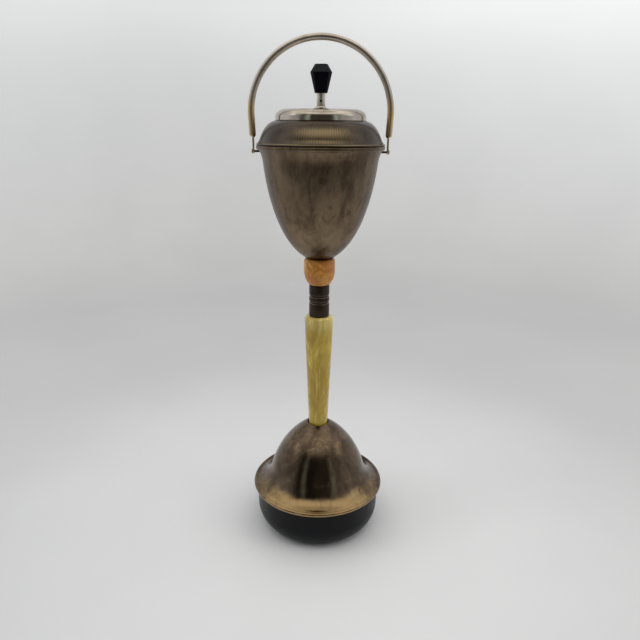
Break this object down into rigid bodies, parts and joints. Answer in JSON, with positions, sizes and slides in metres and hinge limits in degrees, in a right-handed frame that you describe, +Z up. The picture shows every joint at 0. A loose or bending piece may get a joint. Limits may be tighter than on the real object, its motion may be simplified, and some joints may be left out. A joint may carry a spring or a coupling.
{
  "type": "standing push-down ashtray",
  "caption": "Floor-standing smoker's stand: weighted round foot, brass dome, onyx column, egg-shaped bowl, lift-off cover with push-down spinning disc and bail handle.",
  "frame": {"origin": "on the floor, on the axis of the column, at the underside of the foot pad", "axes": "+Z up along the column, -Y the front, +X to the right; the handle swings about X"},
  "size_m": [0.1694, 0.1694, 0.6033],
  "materials": {
    "black_enamel": "satin black enamel, slightly scuffed",
    "felt": "dense black felt",
    "cast_iron": "as cast",
    "steel": "zinc-plated steel hardware",
    "aged_brass": "satin brass with brown age patina",
    "golden_brass": "satin brass, lighter and golden where handled",
    "dark_bronze": "blackened brass",
    "nickel": "polished warm nickel plate",
    "onyx": "polished green-yellow onyx with cloudy veins",
    "amber_stone": "polished orange-brown mottled stone",
    "black_plastic": "glossy black moulded plastic"
  },
  "bodies": {
    "stand": {"foot_shell": "black_enamel", "foot_pad": "felt", "ballast_disc": "cast_iron", "ballast_washer": "steel", "ballast_nut": "steel", "foot_washer": "steel", "foot_nut": "steel", "base_dome": "aged_brass", "column_washer": "felt", "onyx_stem": "onyx", "stem_top_washer": "felt", "ribbed_collar": "dark_bronze", "stone_bead": "amber_stone", "bowl_seat": "dark_bronze", "tie_rod": "steel", "bowl": "aged_brass", "bowl_washer": "steel", "bowl_nut": "steel", "pivot_stud_left": "dark_bronze", "pivot_stud_right": "dark_bronze"},
    "handle": {"handle_tube": "golden_brass", "handle_lug_left": "golden_brass", "handle_lug_right": "golden_brass"},
    "lid": {"cover": "aged_brass", "locating_band": "golden_brass", "ash_ring": "nickel", "bridge": "steel", "bridge_rivet_front": "steel", "bridge_rivet_back": "steel", "helix_guide": "golden_brass", "return_spring": "steel"},
    "rotor": {"spin_disc": "nickel", "disc_boss": "golden_brass", "disc_hub": "nickel", "rotor_shaft": "steel", "twisted_spindle": "steel", "spindle_stop": "golden_brass"},
    "plunger": {"push_sleeve": "nickel", "retaining_screw": "dark_bronze", "knob_insert": "golden_brass", "knob": "black_plastic"}
  },
  "joints": [
    {"name": "handle_swing", "type": "hinge", "parent": "stand", "child": "handle", "pos_m": [0, 0, 0.4814], "axis": [1, 0, 0], "range_deg": [-164, 164]},
    {"name": "lid_lift", "type": "slide", "parent": "stand", "child": "lid", "axis": [0, 0, 1], "range_m": [0, 0.018]},
    {"name": "knob_push", "type": "slide", "parent": "lid", "child": "plunger", "axis": [0, 0, -1], "range_m": [0, 0.014], "stiffness_N_per_m": 200, "springref_m": -0.02, "deforming": ["return_spring"]},
    {"name": "disc_spin", "type": "hinge", "parent": "plunger", "child": "rotor", "pos_m": [0, 0, 0.524], "axis": [0, 0, 1], "range_deg": [0, 180]}
  ],
  "couplings": [
    {"joint": "disc_spin", "follows": "knob_push", "rad_per_m": 224.39}
  ]
}
